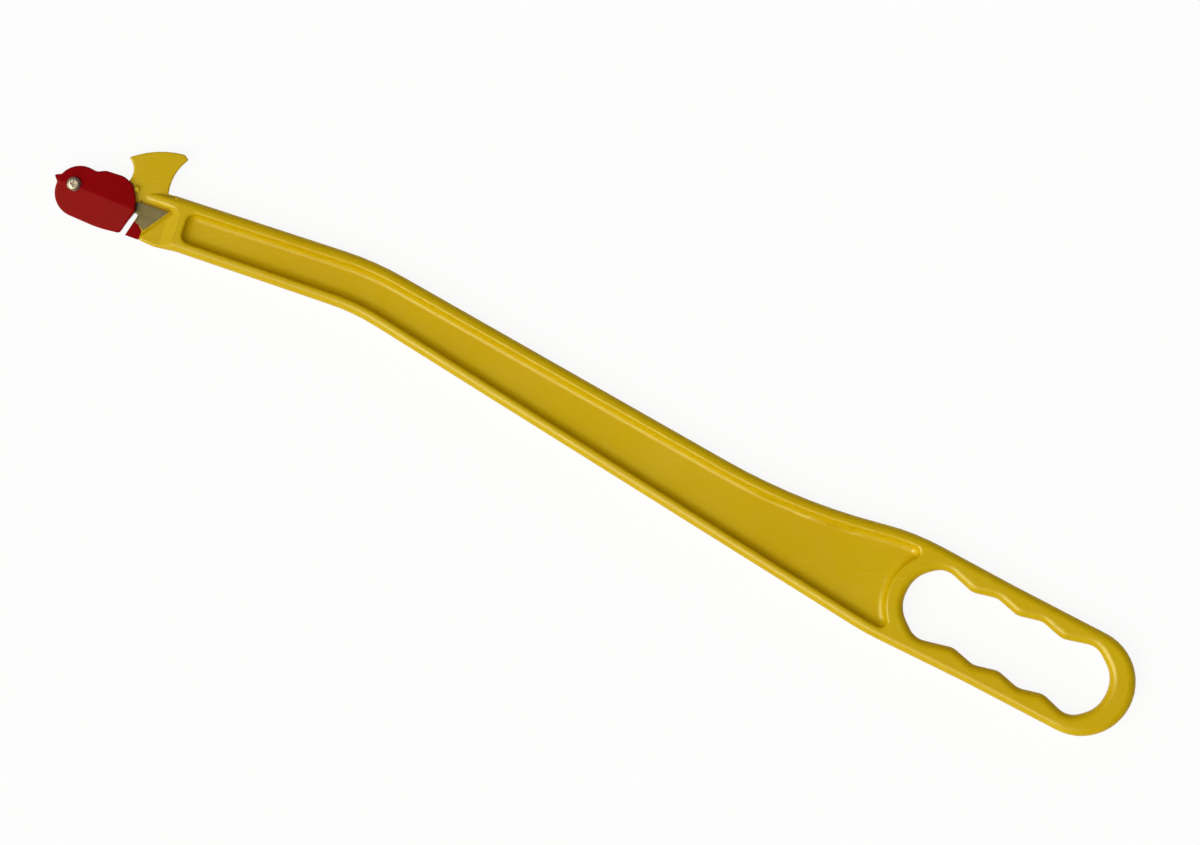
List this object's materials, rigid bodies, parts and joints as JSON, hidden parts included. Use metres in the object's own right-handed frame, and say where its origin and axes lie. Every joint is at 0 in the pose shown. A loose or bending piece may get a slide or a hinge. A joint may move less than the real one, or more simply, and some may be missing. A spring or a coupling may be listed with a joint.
{
  "type": "hay knife",
  "caption": "Long-handled twine knife for hay bales, with a hand loop, a hook fin and a clamped blade beside a narrow cutting slot.",
  "frame": {"origin": "middle of the bounding box at the level that the back of the tool rests on", "axes": "+X along the hand loop towards its free end, +Y towards the side of the fin, +Z out of the face that shows the blade"},
  "size_m": [0.6108, 0.0574, 0.0153],
  "materials": {
    "yellow_plastic": "injection-moulded, glossy, lightly scuffed",
    "red_plastic": "injection-moulded, glossy",
    "blade_steel": "rolled carbon steel with a ground edge, lightly oiled",
    "plated_steel": "zinc plated",
    "nylon": "plain"
  },
  "bodies": {
    "handle": {"handle_body": "yellow_plastic", "back_cover": "red_plastic", "blade": "blade_steel", "pivot_screw": "plated_steel", "screw_washer": "plated_steel", "lock_nut": "plated_steel", "lock_nut_ring": "nylon"},
    "cover": {"blade_cover": "red_plastic"}
  },
  "joints": [
    {"name": "cover_pivot", "type": "hinge", "parent": "handle", "child": "cover", "pos_m": [-0.29485, -0.01031, 0.0105], "axis": [0, 0, -1], "range_deg": [0, 100]}
  ]
}
